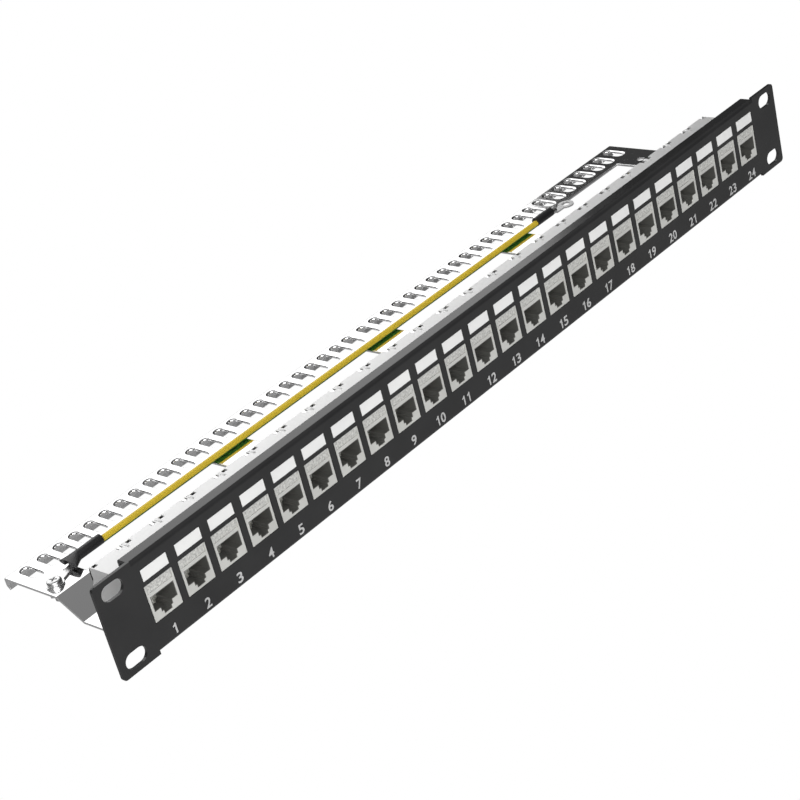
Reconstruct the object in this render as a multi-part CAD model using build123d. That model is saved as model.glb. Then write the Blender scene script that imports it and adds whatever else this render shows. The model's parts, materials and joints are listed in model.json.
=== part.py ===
from build123d import *
import os

# A 24-port shielded patch panel for a 19-inch rack, one rack unit high.
# Frame: X along the panel with port 1 at -X, Z up, -Y is the front.
# The origin is the centre of the four ear slots on the rear (mounting) face of the panel.

os.makedirs("parts", exist_ok=True)

# ---------------------------------------------------------------- rack sizes
PANEL_WIDTH = 482.6
PANEL_HEIGHT = 43.66
EAR_SLOT_X = 465.1 / 2
EAR_SLOT_Z = 31.75 / 2
EAR_SLOT_LENGTH = 11.0
EAR_SLOT_HEIGHT = 7.0
EAR_CORNER_R = 2.0

# ---------------------------------------------------------------- front panel
SHEET = 1.5
FACE_Y = -SHEET
FLANGED_HALF = 221.5
FLANGED_TOP = 21.03
TOP_FLANGE_REAR = 6.5
HOOK_BOTTOM = 15.5
BOTTOM_FLANGE_REAR = 12.5
BEND_OUTER = 2.0
BEND_INNER = 0.5

# ---------------------------------------------------------------- ports
PORTS = 24
PORT_PITCH = 18.4
CUT_WIDTH = 15.2
CUT_LOW = -8.8
CUT_HIGH = 8.25
LABEL_WIDTH = 13.6
LABEL_LOW = 10.4
LABEL_HIGH = 15.6
LABEL_THICK = 0.2

# ---------------------------------------------------------------- jack
JACK_HALF = 7.4
JACK_FACE_Y = FACE_Y + 0.1
JACK_BODY_REAR = 22.5
JACK_LOW = -8.65
JACK_TOP = 3.0
RIDGE_TOP = 4.2
RIDGE_DEPTH = 0.35
CHEEK_INNER = 6.8
CHEEK_REAR = 2.4
CHEEK_TOP = 8.0
SOCKET_HALF = 6.25
SOCKET_LOW = -4.3
SOCKET_HIGH = 2.6
STEP_HALF = 3.13
STEP_LOW = -6.2
NOTCH_HALF = 2.1
NOTCH_LOW = -7.7
NOTCH_REAR = 10.5
LINER_GAP = 0.02
LINER_WALL = 0.35
LINER_FRONT = JACK_FACE_Y + 0.15
CAP_HALF = 7.4
CAP_REAR = 32.4
CAP_TOP = 8.6
CABLE_ENTRY_R = 3.3

LATCH_PIVOT_Y = 18.5
LATCH_PIVOT_Z = 6.4
TRUNNION_R = 0.8
TRUNNION_BORE_R = 0.86

CARRIER_FRONT = 8.2
CARRIER_REAR = 21.5
CONTACTS = 8
CONTACT_PITCH = 1.02
CONTACT_WIDTH = 0.45

# ---------------------------------------------------------------- ground tray
TRAY_SHEET = 0.8
TRAY_HALF = 220.0
TRAY_TOP = 10.0
TRAY_FRONT = 7.6
TRAY_REAR = 29.8
NOTCH_OFFSET = 6.7
NOTCH_WIDTH = 2.4
NOTCH_FRONT = 27.4

# ---------------------------------------------------------------- cable manager
PLATE = 1.2
SHELF_HALF = 220.5
SHELF_TOP = -12.5
SHELF_FRONT = 61.0
SHELF_REAR = 96.5
LOW_TOP = -FLANGED_TOP
LOW_FRONT = 1.5
LOW_REAR = 47.0
WEB_HALF = 10.2
WEB_CENTRE = 105.5
WINDOW_END = 201.5
WINDOW_FRONT = 63.5
WINDOW_REAR = 77.2
TIE_FIRST = 5.55
TIE_PITCH = 8.95
TIE_ROW = 23
TIE_END = 212.3
TIE_Y = 87.4
TIE_LENGTH = 12.6
TIE_WIDTH = 4.6
RIM_R = 1.1
WINDOW_RIM_R = 0.6

# ---------------------------------------------------------------- earth lead
LEAD_R = 1.65
LEAD_Y = 73.2
LEAD_Z = SHELF_TOP + LEAD_R
LEAD_START = -187.0
LEAD_END = 127.0
SLEEVE_R = 2.35
SLEEVE_GAP = 0.05
BARREL_R = 1.85
TONGUE = 0.8
RING_R = 4.2
EARTH_HOLE_R = 2.15
LEFT_RING_X = -214.5
LEFT_RING_Y = 68.8
RIGHT_RING_X = 149.5
FREE_HOLE_X = 209.0
FREE_HOLE_Y = 66.5

# ---------------------------------------------------------------- rivets
RIVET_R = 1.5
RIVET_XS = (-205.0, -123.0, -41.0, 41.0, 123.0, 205.0)
RIVET_Y = 8.0


def block(x0, x1, y0, y1, z0, z1):
    """A box given by its two opposite corners."""
    size = (x1 - x0, y1 - y0, z1 - z0)
    centre = ((x0 + x1) / 2, (y0 + y1) / 2, (z0 + z1) / 2)
    return Pos(*centre) * Box(*size)


def rod(x, y, z, radius, length, axis):
    """A cylinder centred on a point, lying along the named axis."""
    turn = {"X": Rot(0, 90, 0), "Y": Rot(90, 0, 0), "Z": Rot(0, 0, 0)}[axis]
    return Pos(x, y, z) * turn * Cylinder(radius, length)


def side_profile(points, x0, x1):
    """A closed outline in Y and Z, extruded from x0 to x1."""
    outline = make_face(Polyline(*points, close=True).edges())
    face = Plane.YZ * outline
    return Pos(x0, 0, 0) * extrude(face, x1 - x0, dir=(1, 0, 0))


def x_edges_at(part, y, z):
    """The edges along X that pass a given place in Y and Z."""
    found = []
    for edge in part.edges().filter_by(Axis.X):
        middle = edge.position_at(0.5)
        if abs(middle.Y - y) < 0.01 and abs(middle.Z - z) < 0.01:
            found.append(edge)
    return found


def port_x(index):
    """The centre of a port, counted from 0 at the -X end."""
    return (index - (PORTS - 1) / 2) * PORT_PITCH


def group(solids, label):
    """Separate solids kept together in one node."""
    flat = []
    for item in solids:
        flat.extend(item.solids())
    return Compound(label=label, children=flat)


def save(part, name):
    """Write one node, and print its solids and volume."""
    part.label = name
    export_step(part, f"parts/{name}.step")
    print(f"{name}: {len(part.solids())} solid(s), {part.volume:.1f} mm3")


# ---------------------------------------------------------------- front panel
def make_front_panel():
    outline = [
        (BOTTOM_FLANGE_REAR, -FLANGED_TOP),
        (FACE_Y, -FLANGED_TOP),
        (FACE_Y, FLANGED_TOP),
        (TOP_FLANGE_REAR, FLANGED_TOP),
        (TOP_FLANGE_REAR, HOOK_BOTTOM),
        (TOP_FLANGE_REAR - SHEET, HOOK_BOTTOM),
        (TOP_FLANGE_REAR - SHEET, FLANGED_TOP - SHEET),
        (0, FLANGED_TOP - SHEET),
        (0, SHEET - FLANGED_TOP),
        (BOTTOM_FLANGE_REAR, SHEET - FLANGED_TOP),
    ]
    panel = side_profile(outline, -FLANGED_HALF, FLANGED_HALF)
    outer = x_edges_at(panel, FACE_Y, FLANGED_TOP) + x_edges_at(panel, FACE_Y, -FLANGED_TOP)
    panel = fillet(outer, BEND_OUTER)
    panel = fillet(x_edges_at(panel, TOP_FLANGE_REAR, FLANGED_TOP), 1.6)
    inner = x_edges_at(panel, 0, FLANGED_TOP - SHEET) + x_edges_at(panel, 0, SHEET - FLANGED_TOP)
    panel = fillet(inner, BEND_INNER)
    for side in (-1, 1):
        near = side * FLANGED_HALF
        far = side * PANEL_WIDTH / 2
        ear = block(min(near, far), max(near, far), FACE_Y, 0, -PANEL_HEIGHT / 2, PANEL_HEIGHT / 2)
        corners = [e for e in ear.edges().filter_by(Axis.Y) if abs(e.position_at(0.5).X - far) < 0.01]
        panel += fillet(corners, EAR_CORNER_R)
        for level in (-1, 1):
            slot = extrude(SlotOverall(EAR_SLOT_LENGTH, EAR_SLOT_HEIGHT), 2 * SHEET, both=True)
            panel -= Pos(side * EAR_SLOT_X, 0, level * EAR_SLOT_Z) * Rot(90, 0, 0) * slot
    cutouts = []
    for index in range(PORTS):
        x = port_x(index)
        cutouts.append(block(x - CUT_WIDTH / 2, x + CUT_WIDTH / 2, FACE_Y - 1, 1, CUT_LOW, CUT_HIGH))
    panel = panel - cutouts
    for x in RIVET_XS:
        panel -= rod(x, RIVET_Y, -FLANGED_TOP + SHEET / 2, RIVET_R + 0.05, 3 * SHEET, "Z")
    return panel


def make_labels():
    solids = []
    for index in range(PORTS):
        x = port_x(index)
        low = x - LABEL_WIDTH / 2
        solids.append(block(low, low + LABEL_WIDTH, FACE_Y - LABEL_THICK, FACE_Y, LABEL_LOW, LABEL_HIGH))
    return group(solids, "port_labels")


# ---------------------------------------------------------------- one jack, at x = 0
def make_housing():
    body = block(-JACK_HALF, JACK_HALF, JACK_FACE_Y, JACK_BODY_REAR, JACK_LOW, JACK_TOP)
    ridge_rear = JACK_FACE_Y + RIDGE_DEPTH
    body += block(-JACK_HALF, JACK_HALF, JACK_FACE_Y, ridge_rear, JACK_TOP, RIDGE_TOP)
    # narrow cheeks either side of the latch pad
    for side in (-1, 1):
        inner = side * CHEEK_INNER
        outer = side * JACK_HALF
        body += block(min(inner, outer), max(inner, outer), JACK_FACE_Y, CHEEK_REAR, JACK_TOP, CHEEK_TOP)
    # the foot that hooks behind the lower edge of the cut-out
    body += block(-5.0, 5.0, 0.2, 2.6, JACK_LOW - 0.8, JACK_LOW)
    for side in (-1, 1):
        inner = side * 5.6
        outer = side * JACK_HALF
        ear = block(min(inner, outer), max(inner, outer), 16.0, 21.0, JACK_TOP, 8.0)
        body += ear
    body -= rod(0, LATCH_PIVOT_Y, LATCH_PIVOT_Z, TRUNNION_BORE_R, 3 * JACK_HALF, "X")
    # the socket runs through to the rear; the stepped notch takes the plug's clip
    body -= block(-SOCKET_HALF, SOCKET_HALF, FACE_Y - 1, JACK_BODY_REAR + 1, SOCKET_LOW, SOCKET_HIGH)
    body -= block(-STEP_HALF, STEP_HALF, FACE_Y - 1, NOTCH_REAR, STEP_LOW, SOCKET_LOW)
    body -= block(-NOTCH_HALF, NOTCH_HALF, FACE_Y - 1, NOTCH_REAR, NOTCH_LOW, STEP_LOW)
    return body


def stepped_prism(shrink, y0, y1, floor_shrink):
    """The stepped shape of the socket, drawn in by a wall, between two depths."""
    low = SOCKET_LOW + floor_shrink
    step_low = STEP_LOW + floor_shrink
    notch_low = NOTCH_LOW + floor_shrink
    shape = block(shrink - SOCKET_HALF, SOCKET_HALF - shrink, y0, y1, low, SOCKET_HIGH - shrink)
    shape += block(shrink - STEP_HALF, STEP_HALF - shrink, y0, y1, step_low, low)
    shape += block(shrink - NOTCH_HALF, NOTCH_HALF - shrink, y0, y1, notch_low, step_low)
    return shape


def make_liner():
    """The moulded lining of the socket, open at the front."""
    outer = stepped_prism(LINER_GAP, LINER_FRONT, CARRIER_FRONT - LINER_GAP, LINER_GAP)
    wall = LINER_GAP + LINER_WALL
    inner = stepped_prism(wall, LINER_FRONT - 1, CARRIER_FRONT + 1, wall - 0.1)
    return outer - inner


def make_latch():
    pad_front = JACK_FACE_Y + RIDGE_DEPTH + 0.12
    latch = block(-6.65, 6.65, pad_front, pad_front + 2.4, 4.12, 8.05)
    latch += block(-5.0, 5.0, 0.2, 2.1, 7.0, 8.9)
    latch += block(-4.5, 4.5, pad_front + 1.4, LATCH_PIVOT_Y, 6.0, 6.8)
    latch += rod(0, LATCH_PIVOT_Y, LATCH_PIVOT_Z, 1.2, 10.4, "X")
    latch += rod(0, LATCH_PIVOT_Y, LATCH_PIVOT_Z, TRUNNION_R, 2 * JACK_HALF - 0.4, "X")
    return latch


def make_rear_cap():
    cap = block(-CAP_HALF, CAP_HALF, JACK_BODY_REAR, CAP_REAR, -8.2, CAP_TOP)
    cap = fillet([e for e in cap.edges().filter_by(Axis.X) if e.position_at(0.5).Y > 30], 1.6)
    cap -= block(-6.6, 6.6, JACK_BODY_REAR - 1, CAP_REAR - 1.8, -6.8, 7.2)
    cap -= rod(0, CAP_REAR, -1.6, CABLE_ENTRY_R, 8, "Y")
    return cap


def make_carrier():
    carrier = block(-6.2, 6.2, CARRIER_FRONT, CARRIER_REAR, SOCKET_LOW, SOCKET_HIGH - 0.1)
    # four wire slots across the rear of the block
    for step in range(4):
        x = -4.2 + 2.8 * step
        carrier -= block(x - 0.4, x + 0.4, CARRIER_REAR - 4, CARRIER_REAR + 1, SOCKET_LOW + 1.2, SOCKET_HIGH)
    return carrier


def make_contact(x):
    outline = [(0.5, 1.85), (0.5, 2.15), (CARRIER_FRONT, 0.4), (CARRIER_FRONT, 0.1)]
    return side_profile(outline, x - CONTACT_WIDTH / 2, x + CONTACT_WIDTH / 2)


# ---------------------------------------------------------------- ground tray
def make_ground_tray():
    outline = [
        (TRAY_FRONT, TRAY_TOP),
        (TRAY_REAR, TRAY_TOP),
        (TRAY_REAR, TRAY_TOP - TRAY_SHEET),
        (TRAY_FRONT, TRAY_TOP - TRAY_SHEET),
    ]
    tray = side_profile(outline, -TRAY_HALF, TRAY_HALF)
    side_outline = [
        (TRAY_FRONT, TRAY_TOP - TRAY_SHEET),
        (TRAY_REAR, TRAY_TOP - TRAY_SHEET),
        (TRAY_REAR, 4.5),
        (32.3, -1.3),
        (32.3, LOW_TOP),
        (14.2, LOW_TOP),
        (TRAY_FRONT, -12.0),
    ]
    for side in (-1, 1):
        outer = side * TRAY_HALF
        inner = side * (TRAY_HALF - TRAY_SHEET)
        tray += side_profile(side_outline, min(outer, inner), max(outer, inner))
        # the foot turned inward on the low plate
        foot = side * (TRAY_HALF - 9.0)
        tray += block(min(outer, foot), max(outer, foot), 14.0, 30.0, LOW_TOP, LOW_TOP + TRAY_SHEET)
        tray -= rod(side * (TRAY_HALF - 5.0), 22.0, LOW_TOP, RIVET_R + 0.05, 4, "Z")
    # raised beads between neighbouring ports
    beads = []
    for index in range(PORTS - 1):
        bead_x = (port_x(index) + port_x(index + 1)) / 2
        beads.append(rod(bead_x, 27.4, TRAY_TOP - 0.25, 0.6, 4.0, "Y"))
    tray = tray + beads
    # two notches in the rear edge for each port leave one spring finger over each jack
    notches = []
    for index in range(PORTS):
        for side in (-1, 1):
            x0 = port_x(index) + side * NOTCH_OFFSET - NOTCH_WIDTH / 2
            notches.append(block(x0, x0 + NOTCH_WIDTH, NOTCH_FRONT, TRAY_REAR + 1, 9.0, 11.0))
    return tray - notches


# ---------------------------------------------------------------- cable manager
def rim_edges(sheet, half_x, half_y):
    """The upper edges of the opening in the middle of a small sheet."""
    found = []
    for edge in sheet.edges().group_by(Axis.Z)[-1]:
        spot = edge.position_at(0.5)
        if abs(spot.X) < half_x + 0.01 and abs(spot.Y) < half_y + 0.01:
            found.append(edge)
    return found


def rimmed_cutter(opening, half_x, half_y, radius):
    """The tool for an opening whose upper edge is rolled over, made as the gap in a small sheet."""
    margin = radius + 1.0
    size = (2 * half_x + 2 * margin, 2 * half_y + 2 * margin)
    solid = Pos(0, 0, -PLATE / 2) * Box(size[0], size[1], PLATE)
    sheet = solid - extrude(opening, 3, both=True)
    sheet = fillet(rim_edges(sheet, half_x, half_y), radius)
    gap = solid - sheet
    return gap + extrude(opening, -3)


def window_spans():
    web_out = WEB_CENTRE + WEB_HALF
    web_in = WEB_CENTRE - WEB_HALF
    return [
        (-WINDOW_END, -web_out),
        (-web_in, -WEB_HALF),
        (WEB_HALF, web_in),
        (web_out, WINDOW_END),
    ]


def tie_xs():
    xs = []
    for step in range(TIE_ROW):
        x = TIE_FIRST + TIE_PITCH * step
        xs.extend([x, -x])
    xs.extend([TIE_END, -TIE_END])
    return sorted(xs)


def make_cable_manager():
    outline = [
        (LOW_FRONT, LOW_TOP),
        (LOW_REAR, LOW_TOP),
        (SHELF_FRONT, SHELF_TOP),
        (SHELF_REAR, SHELF_TOP),
        (SHELF_REAR, SHELF_TOP - 4.2),
        (SHELF_REAR - 1.7, SHELF_TOP - 5.9),
        (SHELF_REAR - 2.55, SHELF_TOP - 5.05),
        (SHELF_REAR - PLATE, SHELF_TOP - 3.7),
        (SHELF_REAR - PLATE, SHELF_TOP - PLATE),
        (SHELF_FRONT + 0.34, SHELF_TOP - PLATE),
        (LOW_REAR + 0.34, LOW_TOP - PLATE),
        (LOW_FRONT, LOW_TOP - PLATE),
    ]
    plate = side_profile(outline, -SHELF_HALF, SHELF_HALF)
    plate = fillet(x_edges_at(plate, SHELF_REAR, SHELF_TOP), 1.2)
    cutters = []
    window_y = (WINDOW_FRONT + WINDOW_REAR) / 2
    window_depth = WINDOW_REAR - WINDOW_FRONT - 2 * WINDOW_RIM_R
    for x0, x1 in window_spans():
        width = x1 - x0 - 2 * WINDOW_RIM_R
        opening = Rectangle(width, window_depth)
        cutter = rimmed_cutter(opening, width / 2, window_depth / 2, WINDOW_RIM_R)
        cutters.append(Pos((x0 + x1) / 2, window_y, SHELF_TOP) * cutter)
    slot = SlotOverall(TIE_LENGTH, TIE_WIDTH)
    slot_cutter = Rot(0, 0, 90) * rimmed_cutter(slot, TIE_LENGTH / 2, TIE_WIDTH / 2, RIM_R)
    for x in tie_xs():
        cutters.append(Pos(x, TIE_Y, SHELF_TOP) * slot_cutter)
    plate = plate - cutters
    for x, y in ((LEFT_RING_X, LEFT_RING_Y), (FREE_HOLE_X, FREE_HOLE_Y)):
        plate -= rod(x, y, SHELF_TOP - PLATE / 2, EARTH_HOLE_R, 4, "Z")
    for x in RIVET_XS:
        plate -= rod(x, RIVET_Y, LOW_TOP - PLATE / 2, RIVET_R + 0.05, 3, "Z")
    for side in (-1, 1):
        plate -= rod(side * (TRAY_HALF - 5.0), 22.0, LOW_TOP - PLATE / 2, RIVET_R + 0.05, 3, "Z")
    return plate


# ---------------------------------------------------------------- earth lead and its ends
def make_lead():
    length = LEAD_END - LEAD_START
    lead = rod((LEAD_START + LEAD_END) / 2, LEAD_Y, LEAD_Z, LEAD_R, length, "X")
    section = 3.14159265 * LEAD_R**2
    print(f"earth lead: one straight run of {length:.1f} mm, no bends")
    print(f"earth lead: volume {lead.volume:.2f}, section x length {section * length:.2f} mm3")
    return lead


def tongue_and_ring(x_barrel, x_ring, y_ring, z_low):
    """A flat tongue from the barrel to a ring, TONGUE thick."""
    side = 1 if x_ring > x_barrel else -1
    ring = Pos(x_ring, y_ring, z_low + TONGUE / 2) * Cylinder(RING_R, TONGUE)
    start = x_barrel
    neck = Polyline(
        (start, LEAD_Y - 1.6),
        (start, LEAD_Y + 1.6),
        (x_ring - side * 2.0, y_ring + 1.8),
        (x_ring - side * 2.0, y_ring - 1.8),
        close=True,
    )
    neck = Pos(0, 0, z_low) * extrude(make_face(neck.edges()), TONGUE)
    part = ring + neck
    part -= Pos(x_ring, y_ring, z_low + TONGUE / 2) * Cylinder(EARTH_HOLE_R, 3 * TONGUE)
    return part


def make_terminals():
    z_low = SHELF_TOP + 0.02
    left_barrel = rod(LEAD_START - 6.5, LEAD_Y, LEAD_Z + 0.25, BARREL_R, 13.0, "X")
    left = left_barrel + tongue_and_ring(LEAD_START - 12.9, LEFT_RING_X, LEFT_RING_Y, z_low)
    right_barrel = rod(LEAD_END + 6.5, LEAD_Y, LEAD_Z + 0.25, BARREL_R, 13.0, "X")
    right = right_barrel + tongue_and_ring(LEAD_END + 12.9, RIGHT_RING_X, LEAD_Y, z_low)
    return left, right


def make_sleeves(left_terminal, right_terminal, lead):
    z = LEAD_Z + 0.72
    left = rod(LEAD_START - 3.5, LEAD_Y, z, SLEEVE_R, 13.0, "X")
    round_end = Plane(origin=(LEAD_START - 10.0, LEAD_Y, z), x_dir=(0, 1, 0), z_dir=(-1, 0, 0))
    flat_end = Plane(origin=(LEAD_START - 16.5, LEAD_Y - 1.2, z), x_dir=(0, 1, 0), z_dir=(-1, 0, 0))
    flare = loft([round_end * Circle(SLEEVE_R), flat_end * Ellipse(6.0, 1.5)])
    left += flare
    right = rod(LEAD_END + 3.2, LEAD_Y, z, SLEEVE_R, 13.0, "X")
    hole_left = rod(LEAD_START - 9, LEAD_Y, LEAD_Z + 0.25, BARREL_R + SLEEVE_GAP, 18.0, "X")
    hole_right = rod(LEAD_END + 9, LEAD_Y, LEAD_Z + 0.25, BARREL_R + SLEEVE_GAP, 18.0, "X")
    lead_hole = rod(0, LEAD_Y, LEAD_Z, LEAD_R + SLEEVE_GAP, 500.0, "X")
    tongue_gap = block(-220, LEAD_START - 12, LEAD_Y - 3.8, LEAD_Y + 2.4, SHELF_TOP - 1, SHELF_TOP + 0.92)
    left = left - hole_left - lead_hole - tongue_gap
    right = right - hole_right - lead_hole
    return left, right


# ---------------------------------------------------------------- fasteners
def make_earth_fasteners():
    z_top = SHELF_TOP + 0.02 + TONGUE
    head = Pos(LEFT_RING_X, LEFT_RING_Y, z_top + 1.0) * Cylinder(3.4, 2.0)
    head = fillet(head.edges().group_by(Axis.Z)[-1], 1.1)
    for angle in (30, 120):
        head -= Pos(LEFT_RING_X, LEFT_RING_Y, z_top + 2.0) * Rot(0, 0, angle) * Box(3.4, 0.8, 2.0)
    shank = Pos(LEFT_RING_X, LEFT_RING_Y, z_top - 4.0) * Cylinder(2.0, 8.0)
    screw = head + shank
    nut_top = SHELF_TOP - PLATE
    nut = extrude(RegularPolygon(4.04, 6), -3.2) - Pos(0, 0, -1.6) * Cylinder(2.03, 8)
    nut = Pos(LEFT_RING_X, LEFT_RING_Y, nut_top) * nut
    return [screw, nut]


def make_rivets():
    solids = []
    bottom = LOW_TOP - PLATE
    for x in RIVET_XS:
        top = SHEET - FLANGED_TOP
        shank = rod(x, RIVET_Y, (bottom + top) / 2, RIVET_R, top - bottom, "Z")
        head = Pos(x, RIVET_Y, top + 0.5) * Cylinder(2.8, 1.0)
        solids.append(shank + fillet(head.edges().group_by(Axis.Z)[-1], 0.6))
    for side in (-1, 1):
        x = side * (TRAY_HALF - 5.0)
        top = LOW_TOP + TRAY_SHEET
        shank = rod(x, 22.0, (bottom + top) / 2, RIVET_R, top - bottom, "Z")
        head = Pos(x, 22.0, top + 0.5) * Cylinder(2.8, 1.0)
        solids.append(shank + fillet(head.edges().group_by(Axis.Z)[-1], 0.6))
    return solids


# ---------------------------------------------------------------- build every node
save(make_front_panel(), "front_panel")
save(make_labels(), "port_labels")
save(make_ground_tray(), "ground_tray")
save(make_cable_manager(), "cable_manager")

housing = make_housing()
latch = make_latch()
cap = make_rear_cap()
carrier = make_carrier()
liner = make_liner()
caps = []
carriers = []
liners = []
contacts = []
for index in range(PORTS):
    place = Pos(port_x(index), 0, 0)
    save(place * housing, f"jack_housing_{index + 1:02d}")
    save(place * latch, f"jack_latch_{index + 1:02d}")
    caps.append(place * cap)
    carriers.append(place * carrier)
    liners.append(place * liner)
    for number in range(CONTACTS):
        offset = (number - (CONTACTS - 1) / 2) * CONTACT_PITCH
        contacts.append(make_contact(port_x(index) + offset))
save(group(caps, "jack_rear_caps"), "jack_rear_caps")
save(group(carriers, "contact_carriers"), "contact_carriers")
save(group(liners, "socket_liners"), "socket_liners")
save(group(contacts, "jack_contacts"), "jack_contacts")

lead = make_lead()
left_terminal, right_terminal = make_terminals()
left_sleeve, right_sleeve = make_sleeves(left_terminal, right_terminal, lead)
save(lead, "earth_lead")
save(group([left_terminal, right_terminal], "ring_terminals"), "ring_terminals")
save(group([left_sleeve, right_sleeve], "lead_sleeves"), "lead_sleeves")
save(group(make_earth_fasteners() + make_rivets(), "fasteners"), "fasteners")
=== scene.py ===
import json
import math

import bpy
from mathutils import Matrix, Vector

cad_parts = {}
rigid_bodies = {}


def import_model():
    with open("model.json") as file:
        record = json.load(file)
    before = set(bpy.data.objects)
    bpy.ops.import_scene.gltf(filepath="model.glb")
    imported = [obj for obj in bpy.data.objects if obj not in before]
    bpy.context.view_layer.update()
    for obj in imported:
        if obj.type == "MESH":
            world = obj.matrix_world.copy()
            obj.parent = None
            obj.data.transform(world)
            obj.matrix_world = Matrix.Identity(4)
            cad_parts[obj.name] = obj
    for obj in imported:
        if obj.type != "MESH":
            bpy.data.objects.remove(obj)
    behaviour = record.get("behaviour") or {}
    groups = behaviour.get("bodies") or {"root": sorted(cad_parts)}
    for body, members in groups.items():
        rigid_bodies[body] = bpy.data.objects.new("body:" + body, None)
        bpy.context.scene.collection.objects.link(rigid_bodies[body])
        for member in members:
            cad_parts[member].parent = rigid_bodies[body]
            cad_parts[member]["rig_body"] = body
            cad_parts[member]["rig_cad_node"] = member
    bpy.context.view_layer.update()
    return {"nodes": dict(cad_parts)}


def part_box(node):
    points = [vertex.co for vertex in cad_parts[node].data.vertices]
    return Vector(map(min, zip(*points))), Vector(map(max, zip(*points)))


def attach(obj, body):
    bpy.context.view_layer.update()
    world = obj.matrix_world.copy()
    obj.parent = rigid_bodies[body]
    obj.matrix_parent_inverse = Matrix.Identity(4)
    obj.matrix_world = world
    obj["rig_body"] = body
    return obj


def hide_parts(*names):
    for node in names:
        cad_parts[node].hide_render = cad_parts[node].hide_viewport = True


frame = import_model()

PORTS = 24
PITCH = 0.0184

# how the copies of CAD nodes are cleaned and eased
MERGE_DISTANCE = 0.000002
FLAT_ANGLE = math.radians(0.6)
SHARP_ANGLE = math.radians(40)
EASE_SEGMENTS = 2

# the printed port numbers
FIGURE_WIDTH = 0.0030
FIGURE_HEIGHT = 0.0047
FIGURE_STEP = 0.0035
FIGURE_SHIFT = 0.0001
FIGURE_Z = -0.0163
TYPE_SIZE = 0.0068
TYPE_WEIGHT = 0.00011
INK_THICKNESS = 0.00006
INK_PROUD = 0.00001

# the view: angles in degrees, lens in millimetres, the rest in metres
VIEW_AIM = (-0.04785, 0.0185, -0.00928)
VIEW_REACH = 0.8803
VIEW_AZIMUTH = -42.147
VIEW_ELEVATION = 27.452
VIEW_ROLL = -14.735
VIEW_LIFT = 0.00016
VIEW_LEFT = 0.00045
LENS = 88.97
SENSOR = 36.0

nodes = frame["nodes"]
bpy.ops.object.select_all(action="DESELECT")


def port_x(number):
    """Centre of a port, numbered from 1."""
    return (number - 1 - (PORTS - 1) / 2) * PITCH


# ------------------------------------------------------------------ shader groups
def new_group(name, inputs, outputs):
    """An empty node group, with its input and output nodes."""
    group = bpy.data.node_groups.new(name, "ShaderNodeTree")
    for label, kind, value in inputs:
        socket = group.interface.new_socket(name=label, in_out="INPUT", socket_type=kind)
        if value is not None:
            socket.default_value = value
    for label, kind in outputs:
        group.interface.new_socket(name=label, in_out="OUTPUT", socket_type=kind)
    return group, group.nodes.new("NodeGroupInput"), group.nodes.new("NodeGroupOutput")


def make_surface_grain():
    """Fine even grain, as in powder coat or blasted metal: a height and a mask."""
    group, gin, gout = new_group(
        "surface_grain",
        [("Vector", "NodeSocketVector", None), ("Scale", "NodeSocketFloat", 2500.0)],
        [("Height", "NodeSocketFloat"), ("Mask", "NodeSocketFloat")],
    )
    fine = group.nodes.new("ShaderNodeTexNoise")
    fine.inputs["Detail"].default_value = 3.0
    group.links.new(gin.outputs["Vector"], fine.inputs["Vector"])
    group.links.new(gin.outputs["Scale"], fine.inputs["Scale"])
    group.links.new(fine.outputs["Fac"], gout.inputs["Height"])
    wide = group.nodes.new("ShaderNodeTexNoise")
    wide.inputs["Scale"].default_value = 45.0
    wide.inputs["Detail"].default_value = 4.0
    group.links.new(gin.outputs["Vector"], wide.inputs["Vector"])
    group.links.new(wide.outputs["Fac"], gout.inputs["Mask"])
    return group


def make_rolled_lines():
    """Faint straight rolling lines along X, with slow clouding, as on plated sheet."""
    group, gin, gout = new_group(
        "rolled_lines",
        [("Vector", "NodeSocketVector", None)],
        [("Height", "NodeSocketFloat"), ("Cloud", "NodeSocketFloat")],
    )
    stretch = group.nodes.new("ShaderNodeMapping")
    stretch.inputs["Scale"].default_value = (0.02, 1.0, 1.0)
    group.links.new(gin.outputs["Vector"], stretch.inputs["Vector"])
    lines = group.nodes.new("ShaderNodeTexNoise")
    lines.inputs["Scale"].default_value = 3000.0
    lines.inputs["Detail"].default_value = 2.0
    group.links.new(stretch.outputs["Vector"], lines.inputs["Vector"])
    group.links.new(lines.outputs["Fac"], gout.inputs["Height"])
    cloud = group.nodes.new("ShaderNodeTexNoise")
    cloud.inputs["Scale"].default_value = 22.0
    cloud.inputs["Detail"].default_value = 5.0
    group.links.new(gin.outputs["Vector"], cloud.inputs["Vector"])
    group.links.new(cloud.outputs["Fac"], gout.inputs["Cloud"])
    return group


GRAIN = make_surface_grain()
ROLLED = make_rolled_lines()


def start_material(name, **sockets):
    """A new material, its shader's constants set, and its object coordinates."""
    mat = bpy.data.materials.new(name)
    mat.use_nodes = True
    shader = mat.node_tree.nodes["Principled BSDF"]
    for label, value in sockets.items():
        shader.inputs[label.replace("_", " ")].default_value = value
    coords = mat.node_tree.nodes.new("ShaderNodeTexCoord")
    return mat, shader, coords


def place_group(mat, group, coords, **values):
    """A shared effect placed in a material."""
    node = mat.node_tree.nodes.new("ShaderNodeGroup")
    node.node_tree = group
    mat.node_tree.links.new(coords.outputs["Object"], node.inputs["Vector"])
    for label, value in values.items():
        node.inputs[label].default_value = value
    return node


def add_bump(mat, shader, height, strength, distance):
    """Fine relief from a height, left to the shading."""
    bump = mat.node_tree.nodes.new("ShaderNodeBump")
    bump.inputs["Strength"].default_value = strength
    bump.inputs["Distance"].default_value = distance
    mat.node_tree.links.new(height, bump.inputs["Height"])
    mat.node_tree.links.new(bump.outputs["Normal"], shader.inputs["Normal"])


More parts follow.
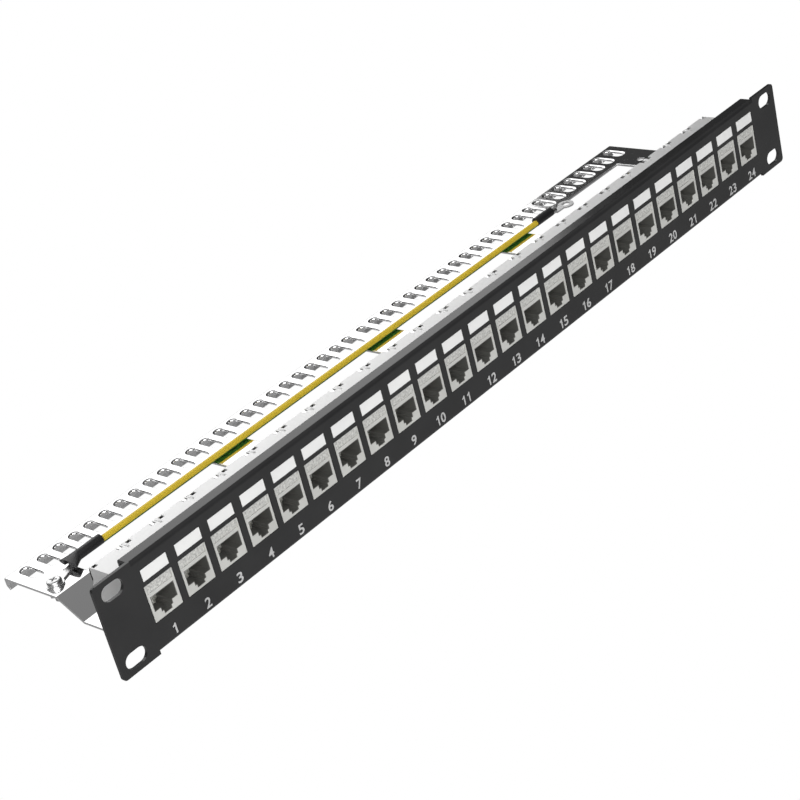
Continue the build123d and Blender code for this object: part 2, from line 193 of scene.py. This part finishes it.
def vary(mat, source, target, low, high):
    """A value that changes over the surface, from low to high."""
    ramp = mat.node_tree.nodes.new("ShaderNodeMapRange")
    ramp.inputs["From Min"].default_value = 0.3
    ramp.inputs["From Max"].default_value = 0.7
    ramp.inputs["To Min"].default_value = low
    ramp.inputs["To Max"].default_value = high
    mat.node_tree.links.new(source, ramp.inputs["Value"])
    mat.node_tree.links.new(ramp.outputs["Result"], target)


def tint(mat, source, target, first, second):
    """A colour that drifts between two close shades."""
    ramp = mat.node_tree.nodes.new("ShaderNodeValToRGB")
    ramp.color_ramp.elements[0].position = 0.32
    ramp.color_ramp.elements[1].position = 0.68
    ramp.color_ramp.elements[0].color = (*first, 1)
    ramp.color_ramp.elements[1].color = (*second, 1)
    mat.node_tree.links.new(source, ramp.inputs["Fac"])
    mat.node_tree.links.new(ramp.outputs["Color"], target)


def grained(name, first, second, rough, scale, strength, distance, **sockets):
    """An even finish with fine grain, its colour and roughness drifting a little."""
    mat, shader, coords = start_material(name, **sockets)
    grain = place_group(mat, GRAIN, coords, Scale=scale)
    tint(mat, grain.outputs["Mask"], shader.inputs["Base Color"], first, second)
    vary(mat, grain.outputs["Mask"], shader.inputs["Roughness"], rough[0], rough[1])
    add_bump(mat, shader, grain.outputs["Height"], strength, distance)
    return mat


def rolled_metal(name, first, second, rough, strength, metallic):
    """Plated sheet with faint rolling lines."""
    mat, shader, coords = start_material(name, Metallic=metallic)
    sheet = place_group(mat, ROLLED, coords)
    tint(mat, sheet.outputs["Cloud"], shader.inputs["Base Color"], first, second)
    vary(mat, sheet.outputs["Cloud"], shader.inputs["Roughness"], rough[0], rough[1])
    add_bump(mat, shader, sheet.outputs["Height"], strength, 0.00002)
    return mat


def speckled(name, low, high, rough, scale):
    """Coarse-blasted metal whose grains catch the light one by one."""
    mat, shader, coords = start_material(name, Metallic=0.35)
    grain = place_group(mat, GRAIN, coords, Scale=scale)
    tint(mat, grain.outputs["Height"], shader.inputs["Base Color"], low, high)
    vary(mat, grain.outputs["Mask"], shader.inputs["Roughness"], rough[0], rough[1])
    add_bump(mat, shader, grain.outputs["Height"], 0.7, 0.00015)
    return mat


def striped_lead(name, centre_z, radius):
    """Yellow over green insulation, the two colours running lengthwise."""
    mat, shader, coords = start_material(name, Roughness=0.38)
    split = mat.node_tree.nodes.new("ShaderNodeSeparateXYZ")
    mat.node_tree.links.new(coords.outputs["Object"], split.inputs["Vector"])
    level = mat.node_tree.nodes.new("ShaderNodeMapRange")
    level.inputs["From Min"].default_value = centre_z - radius
    level.inputs["From Max"].default_value = centre_z + radius
    mat.node_tree.links.new(split.outputs["Z"], level.inputs["Value"])
    ramp = mat.node_tree.nodes.new("ShaderNodeValToRGB")
    ramp.color_ramp.elements[0].position = 0.38
    ramp.color_ramp.elements[0].color = (0.035, 0.17, 0.012, 1)
    ramp.color_ramp.elements[1].position = 0.43
    ramp.color_ramp.elements[1].color = (0.88, 0.64, 0.05, 1)
    mat.node_tree.links.new(level.outputs["Result"], ramp.inputs["Fac"])
    mat.node_tree.links.new(ramp.outputs["Color"], shader.inputs["Base Color"])
    return mat


BLACK_COAT = grained(
    "black_powder_coat", (0.021, 0.021, 0.0215), (0.026, 0.026, 0.0265),
    rough=(0.11, 0.16), scale=5200.0, strength=0.08, distance=0.00002,
)
LABEL_WHITE = grained(
    "label_insert_white", (0.80, 0.80, 0.795), (0.84, 0.84, 0.83),
    rough=(0.42, 0.50), scale=3000.0, strength=0.08, distance=0.00002,
)
PRINT_GREY = grained(
    "printed_numbers_grey", (0.46, 0.46, 0.46), (0.52, 0.52, 0.52),
    rough=(0.5, 0.6), scale=4000.0, strength=0.1, distance=0.00001,
)
BRIGHT_PLATE = rolled_metal(
    "bright_zinc_plate", (0.86, 0.86, 0.865), (0.91, 0.91, 0.91),
    rough=(0.06, 0.09), strength=0.05, metallic=1.0,
)
SATIN_PLATE = rolled_metal(
    "satin_tin_plate", (0.80, 0.80, 0.80), (0.86, 0.86, 0.855),
    rough=(0.42, 0.50), strength=0.18, metallic=0.6,
)
DIE_CAST = grained(
    "die_cast_nickel", (0.66, 0.66, 0.63), (0.74, 0.74, 0.71),
    rough=(0.36, 0.46), scale=2600.0, strength=0.22, distance=0.00005, Metallic=0.35,
)
PAD_METAL = speckled(
    "grained_latch_nickel", (0.46, 0.46, 0.44), (0.84, 0.84, 0.81),
    rough=(0.42, 0.52), scale=1100.0,
)
BLOCK_BLACK = grained(
    "contact_block_black", (0.020, 0.020, 0.018), (0.028, 0.028, 0.026),
    rough=(0.45, 0.55), scale=2500.0, strength=0.2, distance=0.00003,
)
LINING_GREY = grained(
    "socket_lining_dark_grey", (0.085, 0.085, 0.078), (0.105, 0.105, 0.097),
    rough=(0.30, 0.40), scale=2500.0, strength=0.1, distance=0.00002,
)
CAP_BLACK = grained(
    "rear_cap_dull_black", (0.010, 0.010, 0.010), (0.014, 0.014, 0.014),
    rough=(0.74, 0.82), scale=2500.0, strength=0.15, distance=0.00002, Specular_IOR_Level=0.1,
)
GOLD = grained(
    "contact_gold", (0.82, 0.62, 0.26), (0.88, 0.68, 0.30),
    rough=(0.20, 0.28), scale=2500.0, strength=0.05, distance=0.00001, Metallic=1.0,
)
TINNED = grained(
    "tinned_copper", (0.66, 0.66, 0.66), (0.76, 0.76, 0.76),
    rough=(0.24, 0.34), scale=1800.0, strength=0.2, distance=0.00004, Metallic=1.0,
)
ZINC = grained(
    "zinc_fastener", (0.60, 0.61, 0.62), (0.70, 0.70, 0.70),
    rough=(0.26, 0.36), scale=1800.0, strength=0.15, distance=0.00003, Metallic=1.0,
)
SHRINK = grained(
    "heat_shrink_black", (0.016, 0.016, 0.017), (0.026, 0.026, 0.027),
    rough=(0.34, 0.48), scale=700.0, strength=0.5, distance=0.00010,
)


def paint(obj, mat):
    obj.data.materials.clear()
    obj.data.materials.append(mat)


# ------------------------------------------------------------------ mesh helpers
def only(obj):
    """Leaves one object selected and active."""
    bpy.ops.object.select_all(action="DESELECT")
    obj.select_set(True)
    bpy.context.view_layer.objects.active = obj


def apply_modifier(obj, modifier):
    only(obj)
    bpy.ops.object.modifier_apply(modifier=modifier.name)


def settle(obj):
    """Puts a finished piece's object at the origin, with its place in its mesh."""
    only(obj)
    bpy.ops.object.transform_apply(location=True, rotation=True, scale=True)


def smooth(obj, degrees):
    only(obj)
    bpy.ops.object.shade_smooth_by_angle(angle=math.radians(degrees))


def eased_copy(node, name, width, crease=50):
    """A copy of a CAD node, its sharp edges rounded off, smooth below the crease angle."""
    piece = nodes[node].copy()
    piece.data = nodes[node].data.copy()
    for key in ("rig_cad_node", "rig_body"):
        if key in piece:
            del piece[key]
    piece.parent = None
    piece.name = name
    piece.data.name = name
    bpy.context.scene.collection.objects.link(piece)
    only(piece)
    bpy.ops.mesh.customdata_custom_splitnormals_clear()
    bpy.ops.object.mode_set(mode="EDIT")
    bpy.ops.mesh.select_all(action="SELECT")
    bpy.ops.mesh.remove_doubles(threshold=MERGE_DISTANCE)
    bpy.ops.mesh.dissolve_limited(angle_limit=FLAT_ANGLE)
    bpy.ops.object.mode_set(mode="OBJECT")
    ease = piece.modifiers.new("ease", "BEVEL")
    ease.width = width
    ease.segments = EASE_SEGMENTS
    ease.limit_method = "ANGLE"
    ease.angle_limit = SHARP_ANGLE
    apply_modifier(piece, ease)
    smooth(piece, crease)
    level = piece.modifiers.new("level", "WEIGHTED_NORMAL")
    level.keep_sharp = True
    level.weight = 100
    apply_modifier(piece, level)
    return piece


def shifted_copy(piece, name, dx):
    """The same piece at another port."""
    twin = piece.copy()
    twin.data = piece.data.copy()
    twin.name = name
    twin.data.name = name
    twin.data.transform(Matrix.Translation((dx, 0, 0)))
    bpy.context.scene.collection.objects.link(twin)
    return twin


# ------------------------------------------------------------------ sheet parts
def sheet_part(node, name, width, mat, crease=50):
    """An eased and painted piece that stands for a CAD node of the fixed body."""
    piece = eased_copy(node, name, width, crease=crease)
    paint(piece, mat)
    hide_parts(node)
    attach(piece, "panel")
    return piece


sheet_part("front_panel", "panel_front_sheet", 0.00022, BLACK_COAT)
# the shelf's slope is folded by only 31 degrees, and its faces stay flat
sheet_part("cable_manager", "manager_shelf", 0.00022, BRIGHT_PLATE, 25)
sheet_part("ground_tray", "grounding_tray", 0.00012, SATIN_PLATE)
sheet_part("port_labels", "label_inserts", 0.00005, LABEL_WHITE)

# ------------------------------------------------------------------ jacks
housing = eased_copy("jack_housing_01", "jack_shell_01", 0.00016)
paint(housing, DIE_CAST)
latch = eased_copy("jack_latch_01", "latch_lever_01", 0.00016)
paint(latch, PAD_METAL)
for number in range(1, PORTS + 1):
    dx = port_x(number) - port_x(1)
    shell = housing if number == 1 else shifted_copy(housing, f"jack_shell_{number:02d}", dx)
    lever = latch if number == 1 else shifted_copy(latch, f"latch_lever_{number:02d}", dx)
    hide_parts(f"jack_housing_{number:02d}")
    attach(shell, "panel")
    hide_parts(f"jack_latch_{number:02d}")
    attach(lever, f"latch_{number:02d}")

sheet_part("jack_rear_caps", "jack_caps", 0.0002, CAP_BLACK)
sheet_part("socket_liners", "socket_linings", 0.00005, LINING_GREY)
sheet_part("contact_carriers", "contact_blocks", 0.00012, BLOCK_BLACK)
paint(nodes["jack_contacts"], GOLD)


# ------------------------------------------------------------------ printed numbers
def plain_one():
    """A figure 1 with a short flag, 4.7 mm high, drawn flat around the origin."""
    outline = [(-0.05, -2.35), (0.75, -2.35), (0.75, 2.35), (0.12, 2.35), (-0.2, 1.85), (-0.95, 1.5),
               (-0.95, 0.85), (-0.05, 1.1)]
    mesh = bpy.data.meshes.new("figure")
    mesh.from_pydata([(x / 1000, y / 1000, 0) for x, y in outline], [], [list(range(len(outline)))])
    figure = bpy.data.objects.new("figure", mesh)
    bpy.context.scene.collection.objects.link(figure)
    only(figure)
    thick = figure.modifiers.new("thick", "SOLIDIFY")
    thick.thickness = INK_THICKNESS
    apply_modifier(figure, thick)
    return figure


def text_figure(letter):
    """One figure other than 1, 4.7 mm high and drawn narrow, flat around the origin."""
    bpy.ops.object.text_add(location=(0, 0, 0))
    text = bpy.context.object
    text.data.body = letter
    text.data.size = TYPE_SIZE
    text.data.offset = TYPE_WEIGHT
    text.data.extrude = INK_THICKNESS / 2
    bpy.ops.object.convert(target="MESH")
    figure = bpy.context.object
    middle = sum((Vector(c) for c in figure.bound_box), Vector()) / 8
    figure.data.transform(Matrix.Translation(-middle))
    tall = max(v.co.y for v in figure.data.vertices) * 2
    wide = max(v.co.x for v in figure.data.vertices) * 2
    figure.data.transform(Matrix.Diagonal((FIGURE_WIDTH / wide, FIGURE_HEIGHT / tall, 1.0, 1.0)))
    return figure


def make_numbers():
    """Printed port numbers under the jacks."""
    made = []
    face_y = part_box("front_panel")[0][1] - INK_PROUD
    for number in range(1, PORTS + 1):
        letters = str(number)
        for place, letter in enumerate(letters):
            figure = plain_one() if letter == "1" else text_figure(letter)
            step = (place - (len(letters) - 1) / 2) * FIGURE_STEP + FIGURE_SHIFT
            figure.data.transform(Matrix.Rotation(math.radians(90), 4, "X"))
            spot = (port_x(number) + step, face_y, FIGURE_Z)
            figure.data.transform(Matrix.Translation(spot))
            made.append(figure)
    bpy.ops.object.select_all(action="DESELECT")
    for figure in made:
        figure.select_set(True)
    bpy.context.view_layer.objects.active = made[0]
    bpy.ops.object.join()
    numbers = bpy.context.object
    numbers.name = "port_numbers"
    settle(numbers)
    paint(numbers, PRINT_GREY)
    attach(numbers, "panel")


make_numbers()

# ------------------------------------------------------------------ earth lead
lead_low, lead_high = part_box("earth_lead")
LEAD_R = (lead_high[2] - lead_low[2]) / 2
LEAD_Z = (lead_high[2] + lead_low[2]) / 2


def make_lead():
    """The straight wire between its two sleeves."""
    curve = bpy.data.curves.new("earth_wire", "CURVE")
    curve.dimensions = "3D"
    curve.bevel_depth = LEAD_R
    curve.bevel_resolution = 8
    curve.use_fill_caps = True
    run = curve.splines.new("NURBS")
    route = [(-0.187, 0.0732, -0.01085), (-0.030, 0.0732, -0.01085), (0.127, 0.0732, -0.01085)]
    run.points.add(len(route) - 1)
    for point, place in zip(run.points, route):
        point.co = (*place, 1)
    run.order_u = 3
    run.use_endpoint_u = True
    run.resolution_u = 12
    wire = bpy.data.objects.new("earth_wire", curve)
    bpy.context.scene.collection.objects.link(wire)
    paint(wire, striped_lead("earth_lead_insulation", LEAD_Z, LEAD_R))
    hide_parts("earth_lead")
    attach(wire, "panel")
    return wire


wire = make_lead()
terminals = sheet_part("ring_terminals", "ring_lugs", 0.00012, TINNED)
sleeves = sheet_part("lead_sleeves", "shrink_sleeves", 0.0002, SHRINK)
sheet_part("fasteners", "screw_nut_and_rivets", 0.0001, ZINC)


# ------------------------------------------------------------------ floor, light, camera
def plain_to_camera(tree, usual, plain, surface):
    """Shows the plain shader where it is seen directly, and the usual one to all else."""
    ray = tree.nodes.new("ShaderNodeLightPath")
    choose = tree.nodes.new("ShaderNodeMixShader")
    tree.links.new(ray.outputs["Is Camera Ray"], choose.inputs["Fac"])
    tree.links.new(usual, choose.inputs[1])
    tree.links.new(plain, choose.inputs[2])
    tree.links.new(choose.outputs["Shader"], surface)


def make_floor():
    """A white light table: it looks white, and throws only soft light back up."""
    bpy.ops.mesh.primitive_plane_add(size=16.0, location=(0, 0, -0.42))
    floor = bpy.context.object
    floor.name = "studio_floor"
    mat, shader, _ = start_material("studio_white", Roughness=0.9, Specular_IOR_Level=0.0)
    shader.inputs["Base Color"].default_value = (0.38, 0.38, 0.38, 1)
    tree = mat.node_tree
    glow = tree.nodes.new("ShaderNodeEmission")
    glow.inputs["Color"].default_value = (1.0, 1.0, 1.0, 1)
    surface = tree.nodes["Material Output"].inputs["Surface"]
    plain_to_camera(tree, shader.outputs["BSDF"], glow.outputs["Emission"], surface)
    paint(floor, mat)


def soft_light(name, place, aim, width, height, brightness):
    """A flat soft box of a given brightness, whatever its size."""
    lamp = bpy.data.lights.new(name, "AREA")
    lamp.shape = "RECTANGLE"
    lamp.size = width
    lamp.size_y = height
    lamp.energy = brightness * math.pi * width * height
    obj = bpy.data.objects.new(name, lamp)
    bpy.context.scene.collection.objects.link(obj)
    obj.location = place
    obj.rotation_euler = (Vector(aim) - Vector(place)).to_track_quat("-Z", "Y").to_euler()


def make_world():
    """Dim near the horizon and grey overhead; plain white where it is seen directly."""
    world = bpy.data.worlds.new("studio")
    bpy.context.scene.world = world
    world.use_nodes = True
    tree = world.node_tree
    where = tree.nodes.new("ShaderNodeTexCoord")
    split = tree.nodes.new("ShaderNodeSeparateXYZ")
    tree.links.new(where.outputs["Generated"], split.inputs["Vector"])
    rise = tree.nodes.new("ShaderNodeMapRange")
    rise.inputs["From Min"].default_value = 0.46
    rise.inputs["From Max"].default_value = 0.74
    rise.inputs["To Min"].default_value = 0.045
    rise.inputs["To Max"].default_value = 0.22
    tree.links.new(split.outputs["Z"], rise.inputs["Value"])
    dim = tree.nodes["Background"]
    tree.links.new(rise.outputs["Result"], dim.inputs["Strength"])
    dim.inputs["Color"].default_value = (1.0, 1.0, 1.0, 1)
    plain = tree.nodes.new("ShaderNodeBackground")
    plain.inputs["Color"].default_value = (1.0, 1.0, 1.0, 1)
    surface = tree.nodes["World Output"].inputs["Surface"]
    plain_to_camera(tree, dim.outputs["Background"], plain.outputs["Background"], surface)


def bearing(degrees, reach, height):
    """A place at a bearing counted from +X towards +Y."""
    turn = math.radians(degrees)
    return (reach * math.cos(turn), reach * math.sin(turn), height)


make_floor()
make_world()
bpy.context.scene.view_settings.view_transform = "Standard"
soft_light(
    "rear_box", bearing(80, 2.5, 1.55), aim=(0, 0, 0.1), width=4.15, height=2.4, brightness=1.55,
)
soft_light(
    "front_box", (-1.2, -2.0, 0.95), aim=(0, 0, 0), width=2.6, height=2.2, brightness=4.4,
)
soft_light(
    "top_box", (-1.5, 0.4, 1.9), aim=(0, 0, 0), width=1.8, height=1.8, brightness=0.6,
)


def make_camera():
    """A camera at the view's bearing, rolled about its own axis and moved to frame the panel."""
    lens = bpy.data.cameras.new("camera")
    lens.sensor_width = SENSOR
    lens.lens = LENS
    lens.clip_start = 0.01
    lens.clip_end = 50.0
    camera = bpy.data.objects.new("camera", lens)
    bpy.context.scene.collection.objects.link(camera)
    azimuth = math.radians(VIEW_AZIMUTH)
    elevation = math.radians(VIEW_ELEVATION)
    roll = math.radians(VIEW_ROLL)
    away = Vector((
        math.sin(azimuth) * math.cos(elevation),
        -math.cos(azimuth) * math.cos(elevation),
        math.sin(elevation),
    ))
    right = (-away).cross(Vector((0, 0, 1))).normalized()
    up = right.cross(-away)
    across = right * math.cos(roll) + up * math.sin(roll)
    above = up * math.cos(roll) - right * math.sin(roll)
    place = Vector(VIEW_AIM) + away * VIEW_REACH
    place += above * VIEW_LIFT - across * VIEW_LEFT
    turn = Matrix((across, above, away)).transposed().to_4x4()
    camera.matrix_world = Matrix.Translation(place) @ turn
    bpy.context.scene.camera = camera


make_camera()
bpy.ops.object.select_all(action="DESELECT")
bpy.context.view_layer.update()
